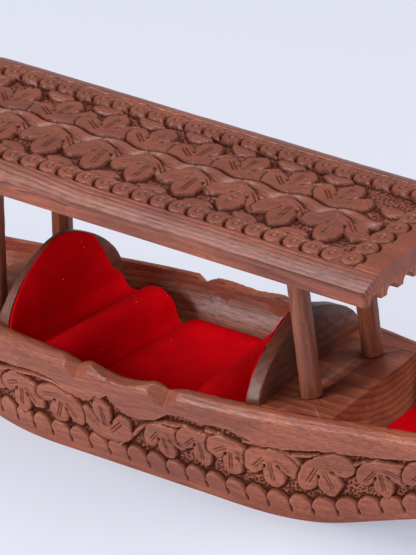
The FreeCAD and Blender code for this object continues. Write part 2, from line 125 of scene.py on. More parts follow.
def blurred(h, sigma):
    """Gaussian blur of a raster, sigma in cells."""
    reach = int(3 * sigma) + 1
    for axis in (0, 1):
        padding = [(reach, reach) if a == axis else (0, 0) for a in (0, 1)]
        wide = np.pad(h, padding, mode="edge")
        h = sum(k * (wide[n:n + h.shape[0]] if axis == 0 else wide[:, n:n + h.shape[1]])
                for n, k in enumerate(bell(reach, sigma)))
    return h


# ---- carving strokes ----
class Relief:
    """A carved field as a map of heights in millimetres, 0 at the uncut face and negative where cut."""

    def __init__(self, u_range, v_range, pitch):
        self.pitch = pitch
        self.u0, self.v0 = u_range[0], v_range[0]
        self.u = np.arange(u_range[0], u_range[1] + pitch, pitch)
        self.v = np.arange(v_range[0], v_range[1] + pitch, pitch)
        self.height = np.zeros((len(self.u), len(self.v)))

    def near(self, points, margin):
        """The part of the map round some points: its heights, and u and v over it."""
        p = np.array(points, float)
        i0, j0 = ((p.min(0) - margin - (self.u0, self.v0)) / self.pitch).astype(int)
        i1, j1 = ((p.max(0) + margin - (self.u0, self.v0)) / self.pitch).astype(int) + 2
        i0, j0 = max(i0, 0), max(j0, 0)
        part = self.height[i0:i1, j0:j1]
        u = self.u[i0:i1][:part.shape[0], None] + np.zeros_like(part)
        v = self.v[j0:j1][None, :part.shape[1]] + np.zeros_like(part)
        return part, u, v

    def groove(self, a, b, width, depth, tail=0.3):
        """A straight V cut from a to b that runs out at both ends."""
        h, u, v = self.near([a, b], width)
        a, b = np.array(a, float), np.array(b, float)
        along = b - a
        length = np.hypot(*along)
        t = ((u - a[0]) * along[0] + (v - a[1]) * along[1]) / length ** 2
        off = np.abs((u - a[0]) * along[1] - (v - a[1]) * along[0]) / length
        ends = np.clip(np.minimum(t, 1 - t) / tail, 0, 1) ** 0.5
        h -= depth * ends * np.clip(1 - off / (width / 2), 0, 1)

    def gouge(self, centre, direction, length, width, depth):
        """An oval scoop with its long way along direction, in degrees."""
        h, u, v = self.near([centre], length)
        c, s = towards(direction)
        a = ((u - centre[0]) * c + (v - centre[1]) * s) / (length / 2)
        b = ((v - centre[1]) * c - (u - centre[0]) * s) / (width / 2)
        h -= depth * np.clip(1 - a * a - b * b, 0, 1) ** 0.6

    def around(self, centre, heading, reach):
        """The map round a point, with the distance from it, and the turn off a heading in degrees."""
        h, u, v = self.near([centre], reach)
        du, dv = u - centre[0], v - centre[1]
        turn = np.degrees(np.arctan2(dv, du)) - heading
        return h, np.hypot(du, dv), (turn + 180) % 360 - 180

    def veins(self, base, tip, reach, spread, width, depth):
        """Two straight cuts side by side from near one point to near another."""
        base, tip = np.array(base, float), np.array(tip, float)
        along = tip - base
        side = np.array([-along[1], along[0]]) / np.hypot(*along) * spread / 2
        for s in (-1, 1):
            self.groove(base + along * reach[0] + s * side, base + along * reach[1] + s * side,
                        width, depth, tail=0.15)

    def rib(self, points, width, level, edge=0.4):
        """Raises a narrow rounded stem out of the ground, along a line of points."""
        for a, b in zip(points, points[1:]):
            h, u, v = self.near([a, b], width)
            a, b = np.array(a, float), np.array(b, float)
            along = b - a
            t = np.clip(((u - a[0]) * along[0] + (v - a[1]) * along[1]) / (along @ along), 0, 1)
            off = np.hypot(u - a[0] - along[0] * t, v - a[1] - along[1] * t)
            top = level - 0.5 * (off / (width / 2)) ** 2
            ground = np.minimum(h, top)
            h[:] = np.maximum(h, ground + (top - ground) * smooth_step((width / 2 - off) / edge))

    def at(self, u, v, what=None):
        """Heights, or another map of the same size, between the cells."""
        field = self.height if what is None else what
        a = np.clip((u - self.u0) / self.pitch, 0, len(self.u) - 1.001)
        b = np.clip((v - self.v0) / self.pitch, 0, len(self.v) - 1.001)
        i, j = a.astype(int), b.astype(int)
        s, t = a - i, b - j
        return ((field[i, j] * (1 - s) + field[i + 1, j] * s) * (1 - t)
                + (field[i, j + 1] * (1 - s) + field[i + 1, j + 1] * s) * t)

    def hollows(self):
        """How deep each spot lies in a cut, up to 1, for the dark polish and painted shade there, darker
        the deeper the cut. Worn edges are below 0.
        """
        wide, near, fine = [blurred(self.height, sigma / self.pitch) for sigma in (0.8, 0.35, 0.12)]
        deep = np.clip((wide - fine) * 2.4 + np.clip(-fine - 0.7, 0, 2) * 0.5, 0, 1)
        return deep - np.clip((fine - near) * 4, 0, 1)


def towards(heading):
    """Unit step along a heading in degrees."""
    return np.array([math.cos(math.radians(heading)), math.sin(math.radians(heading))])


# outline of a vine leaf round its vein centre: turn from its heading in degrees, share of its length
LEAF_LINE = [(-180, 0.17), (-130, 0.24), (-102, 0.42), (-80, 0.62), (-64, 0.86), (-51, 0.98),
             (-40, 0.92), (-33, 0.78), (-28, 0.62), (-22, 0.78), (-10, 0.93), (0, 1.02), (11, 0.94),
             (24, 0.82), (32, 0.58), (40, 0.76), (50, 0.86), (60, 0.94), (74, 0.84), (92, 0.70),
             (108, 0.52), (122, 0.35), (150, 0.20)]
NOTCHES = (-28, 32)  # turns of the two notches between its lobes
VEINS = (-50, 3, 53)  # turns of its paired vein cuts, the middle one the longest
LEAF_LEVEL, LEAF_FALL = -0.1, 0.45  # height at the stalk, and how much lower the rim lies
LEAF_GROUND = -1.9  # depth of the ground that is cleared round it


def leaf_outline(rng, notch, mirror):
    """Share of the leaf's length at every degree of turn, and its change per radian."""
    turns, shares = zip(*LEAF_LINE)
    shares = [s * rng.uniform(0.95, 1.05) * (notch if turn in NOTCHES else 1.0)
              for turn, s in zip(turns, shares)]
    table = np.interp(np.arange(-180, 180), turns, shares, period=360)
    table = np.convolve(np.pad(table, 9, mode="wrap"), bell(9, 2.0), mode="valid")
    if mirror:
        table = np.roll(table[::-1], 1)
    return table, np.gradient(table) * 180 / math.pi


def clear_round(h, inside):
    """Sinks the ground round a leaf's outline, and cuts a line where the leaf meets uncut wood."""
    sunk = smooth_step((-h - 0.7) / 0.4)
    h[:] = h + (np.minimum(h, LEAF_GROUND) - h) * smooth_step((inside + 1.1) / 0.5) * sunk
    h -= 0.9 * np.exp(-((inside + 0.2) / 0.3) ** 2) * (1 - sunk)


def lobe_crease(r, turn, outwards, size):
    """Depth of the crease from the stalk into a notch, to which the outer lobe dips."""
    off = r * np.sin(np.radians(turn))
    crease = np.clip(1 - np.abs(off) / 0.5, 0, 1)
    crease = crease + 0.8 * np.clip(1 - np.abs(off) / 2.2, 0, 1) * (off * outwards > 0)
    return 0.6 * crease * smooth_step(r / size * 2.6 - 0.7) * (np.abs(turn) < 90)


def carve_leaf(relief, stalk, heading, size, rng, notch=1.0):
    """A broad three-lobed leaf with paired vein cuts and a punched eye in each notch."""
    mirror = rng.uniform() < 0.5
    flip = -1 if mirror else 1
    table, change = leaf_outline(rng, notch, mirror)
    h, r, turn = relief.around(stalk, heading, size * 1.15 + 1.5)
    cell = np.clip(np.round(turn + 180).astype(int) % 360, 0, 359)
    share, steep = table[cell], change[cell]
    inside = (share * size - r) / np.sqrt(1 + (steep / share) ** 2)
    clear_round(h, inside)
    top = LEAF_LEVEL - LEAF_FALL * (r / size) ** 2 - 0.18 * np.exp(-np.clip(inside, 0, 9) / 0.5)
    for angle in NOTCHES:
        top = top - lobe_crease(r, turn - flip * angle, flip * angle, size)
    h[:] = np.maximum(h, h + (top - h) * smooth_step(inside / 0.3))
    h[:] = np.where(inside > 0.3, np.minimum(h, top), h)
    stalk = np.array(stalk, float)
    for angle in VEINS:
        way = towards(heading + flip * angle + rng.uniform(-3, 3))
        reach = size * (0.94 if angle == VEINS[1] else 0.82)
        relief.veins(stalk, stalk + way * reach, (0.20, 0.86), size * 0.075, 0.62, 0.95)
    for angle in NOTCHES:
        way = heading + flip * angle
        relief.gouge(stalk + towards(way) * size * 0.40, way, 2.3, 1.35, 1.3)


# ---- the hull's sides ----
# A carved side is laid out in millimetres along the hull and up from its bottom edge. Past the
# straight part the same pattern grows smaller with the height of the side.
STRAIGHT, CARVED = 110.0, 165.0  # distance from amidships
MIDSHIPS, SADDLE_HALF = -6.0, 32.0  # middle of the gunwales' saddle, and half its length
RIM_ROUND = 4.0  # outer edge of the gunwale
INSET = 4.8  # thickness of a carved side
SHOULDER = 5.0  # a side's plain rows end this far below the gunwale
TIP = 8.0  # the hull's tips stay with its core
GROUND = 1.7  # depth of the sides' ground
SCALE_PITCH = 8.4  # along the row of scales over the bottom edge
SCALE_FOOT, SCALE_TOP = 5.6, 9.3  # height of its edge between two scales, and at their tips
SIDE_LEAF_STEP = 18.5  # from leaf to leaf past the straight part
SIDE_STEM = (1.9, -0.2)  # width of a stem, and its height
STRAKE_STEP = 0.285  # from column to column of a side's mesh
SIDE_ROWS, TURN_ROWS = 104, 15  # its rows up to the shoulder, and over the gunwale
# lower edge of the plain gunwale band: distance along, height above the bottom edge
BAND_EDGE = [(-110, 23.0), (-84, 25.4), (-63, 25.4), (-44, 28.0), (-37, 27.4), (-32, 25.1), (-26.6, 23.6),
             (-21, 23.8), (-15, 26.6), (-11.9, 28.8), (-9.1, 25.8), (-4.7, 23.1), (2.0, 23.4), (8.4, 25.2),
             (14.4, 29.6), (21, 30.2), (28, 29.7), (39.7, 30.6), (44.2, 28.9), (51, 27.3), (59.8, 27.5),
             (72.7, 28.9), (90.5, 25.8), (110, 22.6)]
# leaves on the straight part: distance along, height of the stalk, heading and length
SIDE_LEAVES = [(-92.0, 19.8, -84, 12.4), (-72.5, 20.2, -97, 12.8), (-53.2, 20.7, -103, 13.2),
               (-33.8, 21.3, -116, 13.6), (9.5, 21.2, -86, 12.2), (25.6, 23.6, -88, 12.4),
               (38.9, 23.6, -95, 12.8), (53.4, 23.8, -82, 13.4), (72.5, 23.6, -76, 14.2),
               (94.7, 21.0, -87, 12.4)]
UPRIGHT_LEAF = (-15.6, 11.6, 97, 14.4)  # the one that grows upwards, below the saddle
# stems from leaf to leaf: points along each
SIDE_STEMS = [[(-66, 21.0), (-60, 23.0), (-46, 25.9), (-38, 26.0), (-32, 24.2), (-28.5, 20.6),
               (-24.4, 14.0), (-18.9, 9.8), (-13.0, 8.0)],
              [(-12.0, 8.6), (-8.4, 10.4), (-5.5, 13.2), (-0.4, 18.6), (5.4, 22.3), (11.5, 24.3),
               (20.8, 25.6), (27.3, 24.4), (33.0, 21.4)],
              [(29.5, 27.0), (35.4, 26.3), (41.4, 25.0), (46.6, 21.4)],
              [(44.5, 27.0), (49.2, 27.0), (56.2, 26.6), (63.2, 24.4), (66.5, 20.0)],
              [(63.0, 25.6), (72.0, 26.3), (80.0, 24.5), (86.0, 19.5)],
              [(83.0, 22.2), (94.0, 23.4), (103.0, 20.6), (108.0, 15.5)],
              [(-104.0, 14.0), (-99.0, 19.6), (-92.0, 22.0), (-84.0, 21.4), (-80.0, 17.0)],
              [(-84.0, 21.0), (-78.0, 22.6), (-70.0, 22.8), (-63.0, 20.4), (-60.0, 15.0)]]


def band_edge(u):
    """Height of the gunwale band's lower edge."""
    xs, ys = zip(*BAND_EDGE)
    return np.interp(u, xs, ys)


def scale_edge(u):
    """Upper edge of the row of fish scales, each steep on its stern side and long towards the bow."""
    t = (u / SCALE_PITCH) % 1.0
    return SCALE_FOOT + (SCALE_TOP - SCALE_FOOT) * np.sin(np.pi * t ** 0.72) ** 0.55


def carve_side(reach, seed):
    """The whole side's carving from stern to bow."""
    rng = np.random.default_rng(seed)
    relief = Relief((-reach, reach), (0.0, 42.0), 0.15)
    u, v = np.meshgrid(relief.u, relief.v, indexing="ij")
    edge = 0.35
    below = smooth_step((band_edge(u) + drift(u, v, 3.0, 90.0, seed) * 0.25 - v) / edge)
    above = smooth_step((v - scale_edge(u) - drift(u, v, 2.0, 90.0, seed + 1) * 0.15) / edge)
    relief.height = punched_ground(u, v, -GROUND, 0.25, 5.0, 1.15, seed + 2) * below * above
    for line in SIDE_STEMS:
        relief.rib(line, *SIDE_STEM)
    x, y, heading, size = UPRIGHT_LEAF
    carve_leaf(relief, (x, y), heading, size, rng, notch=0.72)
    for x, y, heading, size in SIDE_LEAVES:
        carve_leaf(relief, (x, y), heading, size, rng)
    for end in (-1, 1):
        for k in range(int((reach - STRAIGHT) / SIDE_LEAF_STEP)):
            x = end * (STRAIGHT + SIDE_LEAF_STEP * (k + 0.2))
            relief.rib([(x - 9, 15), (x - 6, 19.6), (x, 22), (x + 6, 20.6), (x + 9.5, 14)], *SIDE_STEM)
            carve_leaf(relief, (x, 20.0), -90 + rng.uniform(-9, 9), 13.5, rng)
    for k in range(int(-reach / SCALE_PITCH), int(reach / SCALE_PITCH) + 1):
        x = k * SCALE_PITCH + rng.uniform(-0.3, 0.3)
        relief.groove((x - 0.3, SCALE_FOOT + 1.4), (x + 0.4, 3.2), 0.7, 0.7)
        relief.gouge((x + 0.35, 3.9), -78, 3.4, 1.25, 1.0)
    relief.height = blurred(relief.height, 0.9)
    return relief


def cad_tree(node):
    """The node's surface, for rays."""
    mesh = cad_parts[node].data
    mesh.calc_loop_triangles()
    points = [v.co for v in mesh.vertices]
    return BVHTree.FromPolygons(points, [tuple(t.vertices) for t in mesh.loop_triangles])


def first_hit(tree, start, way):
    """Where a ray from start, in millimetres, meets the surface."""
    hit = tree.ray_cast(Vector(start) * MM, Vector(way))[0]
    return None if hit is None else hit / MM


class HullShape:
    """The hull's outer lines, read off the CAD solid: bottom edge, gunwale and flared sides."""

    def __init__(self):
        self.tree = cad_tree("hull")
        self.half_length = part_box("hull")[1].x / MM
        self.x = np.arange(-self.half_length + TIP, self.half_length - TIP + 0.01, 2.0)
        keel, rim = np.array([self.heights(x) for x in self.x]).T
        saddle = np.abs(self.x - MIDSHIPS) < SADDLE_HALF
        rim = np.interp(self.x, self.x[~saddle], rim[~saddle])
        # the flare is read between two points the carving leaves alone
        low_z, high_z = keel + 0.06 * (rim - keel), keel + self.plain_height(keel, rim)
        low_y, high_y = [np.array([first_hit(self.tree, (x, 90, z), (0, -1, 0)).y
                                   for x, z in zip(self.x, row)]) for row in (low_z, high_z)]
        dip = np.clip(high_z - (rim - RIM_ROUND), 0, 3)
        flare = (high_y + RIM_ROUND - np.sqrt(RIM_ROUND ** 2 - dip ** 2) - low_y) / (high_z - low_z)
        around = np.lib.stride_tricks.sliding_window_view(np.pad(flare, 5, mode="edge"), 11)
        flare = np.median(around, axis=1)
        self.rows = [self.fair(r) for r in (keel, rim, low_y - flare * low_z, flare)]

    def heights(self, x):
        """Bottom edge and gunwale at a station."""
        downs = [first_hit(self.tree, (x, y, 85), (0, 0, -1)) for y in np.arange(0.2, 46, 0.7)]
        return first_hit(self.tree, (x, 0.2, -20), (0, 0, 1)).z, max(h.z for h in downs if h is not None)

    def plain_height(self, keel, rim):
        """Height above the keel just over the gunwale band's lower edge."""
        inner = np.clip(self.x, -STRAIGHT, STRAIGHT)
        size = (rim - keel) / np.interp(inner, self.x, rim - keel)
        over = np.array([band_edge(x) for x in inner]) + 0.7
        plain = np.minimum(0.72 * (rim - keel), rim - keel - RIM_ROUND)
        return np.where(np.abs(self.x) > CARVED + 2, plain, over * size)

    def fair(self, row):
        """Takes the facets out of a line read off a faceted surface."""
        return np.convolve(np.pad(row, 4, mode="reflect", reflect_type="odd"), bell(4, 1.6), mode="valid")

    def lines(self, x):
        """Bottom edge, gunwale, half-breadth at z = 0 and its growth per millimetre of height."""
        return [np.interp(x, self.x, row) for row in self.rows]


def pattern_place(shape, x):
    """Place along the carving of each station, and its size there, smaller where the side is low."""
    keel, rim, _, _ = shape.lines(np.array([-CARVED, -STRAIGHT, STRAIGHT, CARVED]))
    high = rim - keel
    shrink = np.where(x > 0, high[3] / high[2], high[0] / high[1])
    fall = (1 - shrink) / (CARVED - STRAIGHT)
    size = 1 - fall * np.clip(np.abs(x) - STRAIGHT, 0, CARVED + 8 - STRAIGHT)
    return np.sign(x) * (np.minimum(np.abs(x), STRAIGHT) - np.log(size) / fall), size


def follow_saddle(shape, side, x, y, z, keel):
    """Draws the upper rows in to the solid where the saddle's cuts reach below the gunwale's rounding."""
    for i in np.flatnonzero(np.abs(x - MIDSHIPS) < SADDLE_HALF):
        for j in range(int(SIDE_ROWS * 0.8), SIDE_ROWS):
            hit = first_hit(shape.tree, (x[i], (y[i, j] - INSET) * side, z[i, j]), (0, side, 0))
            above_carving = z[i, j] > keel[i] + band_edge(x[i]) + 0.8
            if hit is not None and above_carving and y[i, j] - abs(hit.y) > 0.12:
                y[i, j] = abs(hit.y)


def over_gunwale(shape, side, x, shoulder_y, shoulder_z):
    """Rows over the gunwale, where rays that fan out from inside the wall meet the solid."""
    turn_y, turn_z = np.zeros((len(x), TURN_ROWS)), np.zeros((len(x), TURN_ROWS))
    for k in range(TURN_ROWS):
        angle = math.pi / 2 * (k + 1) / TURN_ROWS
        way = (0, math.cos(angle) * side, math.sin(angle))
        for i in range(len(x)):
            hit = first_hit(shape.tree, (x[i], (shoulder_y[i] - INSET) * side, shoulder_z[i]), way)
            turn_y[i, k], turn_z[i, k] = abs(hit.y), hit.z
    return turn_y, turn_z


def tube_faces(columns, rows, side):
    """Faces round a closed section at every column, and a cap at each end, turned outwards."""
    index = np.arange(columns * rows).reshape(columns, rows)
    a, b = index[:-1], index[1:]
    quads = np.stack([a, b, np.roll(b, -1, 1), np.roll(a, -1, 1)], -1).reshape(-1, 4)
    caps = [index[0], index[-1, ::-1]]
    if side > 0:
        quads, caps = quads[:, ::-1], [cap[::-1] for cap in caps]
    return quads.tolist() + [cap.tolist() for cap in caps]


def make_side(shape, side, relief, hollows, x0, x1, name):
    """One carved strake, from the bottom edge over the gunwale, as a closed solid."""
    x = np.linspace(x0, x1, int(round((x1 - x0) / STRAKE_STEP)) + 1)
    keel, rim, breadth, flare = shape.lines(x)
    shoulder = rim - SHOULDER
    t = np.linspace(0, 1, SIDE_ROWS)
    z = keel[:, None] + (shoulder - keel)[:, None] * t[None]
    y = breadth[:, None] + flare[:, None] * z
    follow_saddle(shape, side, x, y, z, keel)
    turn_y, turn_z = over_gunwale(shape, side, x, breadth + flare * shoulder, shoulder)
    # carving: inwards, square to the flared side, and shallower where it is smaller
    along, size = pattern_place(shape, x)
    q = (z - keel[:, None]) / size[:, None]
    u = along[:, None] + np.zeros_like(q)
    fade = smooth_step((CARVED + 1.5 - np.abs(x)) / 0.8)[:, None]
    depth = relief.at(u, q) * fade * np.minimum(size, 1.0)[:, None] ** 0.5
    # dark polish and painted shade in the carving's cuts, from how deep they lie
    dark = relief.at(u, q, hollows) * fade
    foot = smooth_step(t * 12)[None]
    wave = 0.10 * drift(x[:, None] + 400, z, 17.0, 9.0, 5) - 0.12
    wave = wave * foot * (1 - smooth_step((t - 0.9) * 10))[None]
    tilt = 1 / np.sqrt(1 + flare ** 2)[:, None]
    y = np.hstack([y + (depth + wave) * tilt, turn_y])
    z = np.hstack([z - (depth + wave) * (flare[:, None] * tilt) * foot, turn_z])
    # back: down inside the wall, from the last row's edge to the bottom
    y = np.column_stack([y, y[:, -1] - 0.12, breadth + flare * keel - INSET - 0.12]) * side
    z = np.column_stack([z, z[:, -1] - 0.05, keel])
    dark = np.hstack([dark, np.zeros((len(x), TURN_ROWS + 2))])
    points = np.stack([np.repeat(x[:, None], y.shape[1], 1), y, z], -1).reshape(-1, 3) * MM
    return mesh_piece(name, points, tube_faces(*y.shape, side), dark.reshape(-1), sharp=38)


# ---- making and cutting meshes ----
def only(piece):
    """Selects one piece and nothing else."""
    bpy.ops.object.select_all(action="DESELECT")
    bpy.context.view_layer.objects.active = piece
    piece.select_set(True)


def mesh_piece(name, points, faces, dark=None, sharp=30):
    """A piece from points and faces, in metres, smooth but for edges sharper than an angle."""
    mesh = bpy.data.meshes.new(name)
    mesh.from_pydata([tuple(p) for p in points], [], faces)
    mesh.update()
    piece = bpy.data.objects.new(name, mesh)
    bpy.context.scene.collection.objects.link(piece)
    if dark is not None:
        layer = mesh.attributes.new("hollow", "FLOAT", "POINT")
        layer.data.foreach_set("value", np.asarray(dark, np.float32))
    smooth(piece, sharp)
    return piece


def smooth(piece, degrees):
    """Shades a piece smooth but for edges sharper than an angle."""
    only(piece)
    bpy.ops.object.shade_smooth_by_angle(angle=math.radians(degrees))
    piece.select_set(False)


def copy_of(node, name):
    """A CAD node's shape as a piece of its own, with its loose triangles joined."""
    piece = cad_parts[node].copy()
    piece.data = piece.data.copy()
    piece.name = name
    piece.data.name = name
    for key in list(piece.keys()):
        del piece[key]
    piece.parent = None
    piece.hide_render = False
    piece.hide_viewport = False
    bpy.context.scene.collection.objects.link(piece)
    made = bmesh.new()
    made.from_mesh(piece.data)
    bmesh.ops.remove_doubles(made, verts=made.verts, dist=1e-7)
    made.to_mesh(piece.data)
    made.free()
    return piece


def apply_boolean(piece, cutter, operation):
    """Cuts or keeps by another closed shape, which is then removed."""
    change = piece.modifiers.new("cut", "BOOLEAN")
    change.object = cutter
    change.operation = operation
    change.solver = "EXACT"
    only(piece)
    bpy.ops.object.modifier_apply(modifier=change.name)
    bpy.data.objects.remove(cutter)


def block(low, high):
    """A closed box between two corners, in millimetres, to cut with."""
    bpy.ops.object.select_all(action="DESELECT")
    centre = [(a + b) / 2 * MM for a, b in zip(low, high)]
    bpy.ops.mesh.primitive_cube_add(size=1, location=centre)
    made = bpy.context.object
    made.scale = [(b - a) * MM for a, b in zip(low, high)]
    bpy.ops.object.transform_apply(location=True, rotation=True, scale=True)
    return made


def block_between(name, first, second):
    """A closed solid between two outlines with as many corners, in millimetres, to cut with."""
    n = len(first)
    faces = [[n + k, n + (k + 1) % n, (k + 1) % n, k] for k in range(n)]
    faces += [list(range(n)), list(range(n, 2 * n))[::-1]]
    made = mesh_piece(name, np.array(first + second) * MM, faces)
    fix = bmesh.new()
    fix.from_mesh(made.data)
    bmesh.ops.triangulate(fix, faces=[f for f in fix.faces if len(f.verts) > 4])
    bmesh.ops.recalc_face_normals(fix, faces=fix.faces)
    fix.to_mesh(made.data)
    fix.free()
    return made


# ---- the hull's core ----
def core_outline(shape, z):
    """Plan of the core at a height: inside the carved sides, and wide of the hull at both tips."""
    x = shape.x[::2]
    _, _, breadth, flare = shape.lines(x)
    inner = breadth + flare * z - INSET
    wide, end = 30.0, shape.half_length + 5
    stern = [(x[0], -wide), (-end, -wide), (-end, wide), (x[0], wide)]
    bow = [(x[-1], wide), (end, wide), (end, -wide), (x[-1], -wide)]
    port, starboard = list(zip(x, inner)), list(zip(x[::-1], -inner[::-1]))
    return [(a, b, z) for a, b in stern + port + bow + starboard]


def make_core(shape):
    """What is left of the hull inside its carved sides: decks, wells, bottom and both tips."""
    core = copy_of("hull", "hull_core")
    keep = block_between("keep", core_outline(shape, -6.0), core_outline(shape, 70.0))
    apply_boolean(core, keep, "INTERSECT")
    smooth(core, 28)
    return core


# ---- the roof ----
ROOF_MARGIN_END, ROOF_MARGIN_EAVE = 10.0, 8.0  # plain border outside the row of coins
ROOF_CORNER = 1.5  # upright corners
ROOF_GROUND = -1.9  # height of the roof's ground
COIN_PITCH = 8.0  # from coin to coin
COIN_BAND = 7.6  # width of the row of coins
LEAF_STEP = 19.9  # from leaf to leaf on each side
# leaves beside the stem: side, place along, distance from the middle, length
ROOF_LEAVES = [(-1, 13.0, 2.2, 16.6), (1, 3.2, 2.6, 15.4)]
BUD_BACK, BUD_OUT = 9.7, 18.6  # a bud's place from its leaf's, and from the middle
STEM_PLACE = 8.0  # where a strand of the stem begins
SPLIT = 3.7  # height of the roof's lower, fluted part
SKIRT_ROWS = 5  # rows of the carved part's mesh down its edges


def carve_roof(half_length, half_width, seed):
    """A border of coins with pearls round a twisted stem with leaves to both sides."""
    rng = np.random.default_rng(seed)
    relief = Relief((-half_length, half_length), (-half_width, half_width), 0.12)
    u, v = np.meshgrid(relief.u, relief.v, indexing="ij")
    outer_u, outer_v = half_length - ROOF_MARGIN_END, half_width - ROOF_MARGIN_EAVE
    inner_u, inner_v = outer_u - COIN_BAND, outer_v - COIN_BAND
    wobble = 0.35 * drift(u, v, 3.0, 3.0, seed)
    inside = np.minimum(inner_u - np.abs(u), inner_v - np.abs(v)) + 0.8 + wobble
    ground = punched_ground(u, v, ROOF_GROUND, 0.35, 4.0, 1.3, seed + 1)
    band = -0.35 * smooth_step(np.minimum(outer_u - np.abs(u), outer_v - np.abs(v)) / 0.3)
    relief.height = band + (ground - band) * smooth_step(inside / 0.4)
    across_u, across_v = outer_u - COIN_BAND / 2, outer_v - COIN_BAND / 2
    for x, y in coin_places(across_u, across_v):
        open_side = (0 if x > 0 else 180) if abs(x) > across_u - 0.1 else 180
        coin(relief, (x + rng.uniform(-0.15, 0.15), y + rng.uniform(-0.15, 0.15)), open_side, rng)
    for side, first, lift, size in ROOF_LEAVES:
        for k in range(-5, 6):
            x = first + LEAF_STEP * k + rng.uniform(-0.5, 0.5)
            if abs(x) < inner_u - 7:
                if abs(x - BUD_BACK) < inner_u - 4:
                    bud(relief, (x - BUD_BACK, side * BUD_OUT), rng)
                carve_leaf(relief, (x, side * lift), 90 * side + rng.uniform(-3, 3), size, rng)
    for end in (-1, 1):
        for y in (-9.5, 9.0):
            bud(relief, (end * (inner_u - 4.6), y), rng)
    twisted_stem(relief, inner_u)
    relief.height = blurred(relief.height, 0.8)
    return relief


def coin_places(across_u, across_v):
    """Middles of the coins round the roof, evenly spaced."""
    along = int(round(2 * across_u / COIN_PITCH))
    ends = int(round(2 * across_v / COIN_PITCH))
    spots = []
    for side in (-1, 1):
        spots += [(-across_u + 2 * across_u * k / along, side * across_v) for k in range(along + 1)]
        spots += [(side * across_u, -across_v + 2 * across_v * k / ends) for k in range(1, ends)]
    return spots


def coin(relief, centre, open_side, rng):
    """A flat disc set off by a crescent cut on one side, with a pearl in a small dish."""
    h, r, turn = relief.around(centre, open_side, 6.0)
    radius = 3.9 + rng.uniform(-0.15, 0.1)
    top = -0.05 - 0.10 * (r / radius) ** 2 - 0.5 * np.exp(-((r - 1.15) / 0.42) ** 2)
    top = top + 0.15 * np.clip(1 - r / 0.8, 0, 1) ** 0.5
    h[:] = np.where(r < radius, h + (top - h) * smooth_step((radius - r) / 0.25), h)
    bend = np.clip(np.cos(np.radians(turn)), 0, 1)
    width = 0.25 + 0.65 * bend ** 1.5
    cut = np.clip(1 - np.abs(r - radius - width * 0.55) / width, 0, 1)
    h -= (0.25 + 1.35 * bend ** 0.8) * cut ** 0.7 * smooth_step((h + 1.3) / 0.6)


def bud(relief, centre, rng):
    """A low half-hidden leaf between two leaf tips, lined along its length."""
    h, r, turn = relief.around(centre, 90 + rng.uniform(-12, 12), 8.0)
    across, along = r * np.cos(np.radians(turn)), r * np.sin(np.radians(turn))
    inside = 3.2 * np.clip(1 - (along / 6.2) ** 2, 0, 1) - np.abs(across)
    top = -0.75 - 0.06 * across ** 2 - 0.25 * np.clip(np.cos(across * 2 * math.pi / 1.25), 0, 1) ** 2
    h[:] = np.maximum(h, h + (top - h) * smooth_step(inside / 0.4))


def twisted_stem(relief, inner_u):
    """The rope-like stem down the middle: long overlapping strands that sink on both sides."""
    h, u, v = relief.near([(-inner_u + 2, -6), (inner_u - 2, 6)], 0.0)
    phase = (u - STEM_PLACE) / LEAF_STEP
    t = phase - np.floor(phase)
    crest = 1.1 * np.sin(2 * np.pi * phase)
    low = crest - 1.7 - 3.4 * np.sin(np.pi * t) ** 1.3
    high = crest + 2.3
    down = np.clip((crest - v) / np.maximum(crest - low, 0.1), 0, 1)
    up = np.clip((v - crest) / np.maximum(high - crest, 0.1), 0, 1)
    top = 0.05 - 1.9 * down ** 1.25 - 1.95 * up ** 1.3
    inside = np.minimum(v - low, high - v)
    h[:] = h + (top - h) * smooth_step(inside / 0.25)
    for k in range(-5, 6):
        x = STEM_PLACE + LEAF_STEP * k
        if abs(x) < inner_u - 14:
            relief.groove((x - 4, 0.9), (x + 9, -2.6), 0.8, 0.5)
            relief.groove((x + 2, 0.6), (x + 13, -3.4), 0.6, 0.35)


def spaced(a, b, c, d, coarse, fine):
    """Grid lines from a to d, close together from b to c."""
    return np.concatenate([np.linspace(a, b, max(int((b - a) / coarse), 1) + 1)[:-1],
                           np.linspace(b, c, int((c - b) / fine) + 1),
                           np.linspace(c, d, max(int((d - c) / coarse), 1) + 1)[1:]])


def border_lines(u, v, half_length, half_width):
    """Depth of the line cut across each end inside its border, and of the shallow one along each eave."""
    from_end = np.abs(u) - half_length + ROOF_MARGIN_END
    from_eave = np.abs(v) - half_width + ROOF_MARGIN_EAVE
    line = 0.35 * np.clip(1 - np.abs(from_end) / 0.35, 0, 1) * (from_eave < 0.4)
    eave = 0.5 * np.clip(1 - np.abs(from_eave) / 0.7, 0, 1) * (from_end < 0.4)
    return line, eave


def round_corners(u, v, half_length, half_width):
    """Draws the four upright corners of the plan in to their radius."""
    du, dv = np.abs(u) - half_length + ROOF_CORNER, np.abs(v) - half_width + ROOF_CORNER
    both = (du > 0) & (dv > 0)
    shrink = np.where(both, np.maximum(du, dv) / np.maximum(np.hypot(du, dv), 1e-9), 1.0)
    u = np.where(both, np.sign(u) * (half_length - ROOF_CORNER + du * shrink), u)
    v = np.where(both, np.sign(v) * (half_width - ROOF_CORNER + dv * shrink), v)
    return u, v


